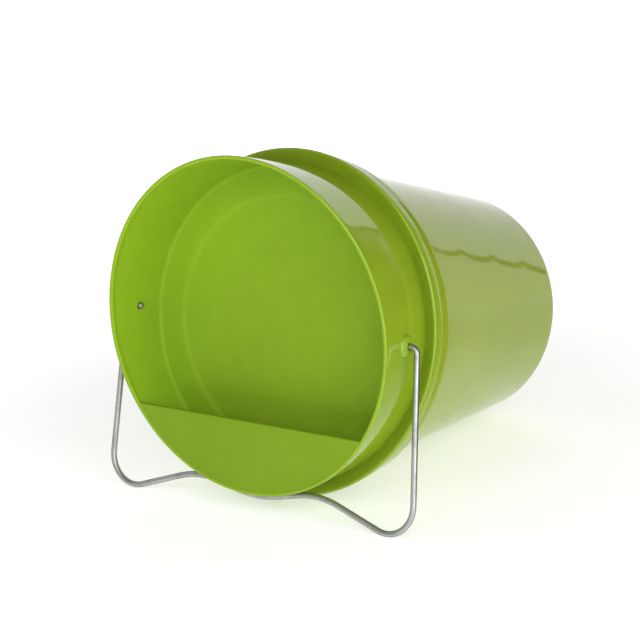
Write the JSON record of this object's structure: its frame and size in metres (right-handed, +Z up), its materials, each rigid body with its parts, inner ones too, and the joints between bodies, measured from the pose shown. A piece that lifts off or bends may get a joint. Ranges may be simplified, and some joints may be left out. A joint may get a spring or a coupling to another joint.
{
  "type": "bucket drinker",
  "caption": "Lie-down bucket drinker: a tapered pail closed by a drum-shaped trough cap with a dam, held up in front by a hinged wire bail.",
  "frame": {"origin": "centre of the bounding box's bottom face, on the floor midway between the front lip and the pail's rear corner", "axes": "+Z up, mouth and bail towards -Y, pail's base towards +Y, mirror plane at X = 0; the bucket's own axis is pitched 11.3 degrees, mouth up"},
  "size_m": [0.3146, 0.3546, 0.3021],
  "materials": {
    "body_plastic": "glossy",
    "seal_rubber": "satin",
    "wire": "galvanised"
  },
  "bodies": {
    "pail": {"pail": "body_plastic"},
    "cap": {"trough_cap": "body_plastic", "dam_plate": "body_plastic", "seal_ring": "seal_rubber"},
    "bail": {"bail": "wire"}
  },
  "joints": [
    {"name": "cap_lift", "type": "slide", "parent": "pail", "child": "cap", "axis": [0, -0.9806, 0.1958], "range_m": [0, 0.12]},
    {"name": "bail_swing", "type": "hinge", "parent": "cap", "child": "bail", "pos_m": [0, -0.13751, 0.15306], "axis": [-1, 0, 0], "range_deg": [-10, 155]}
  ]
}
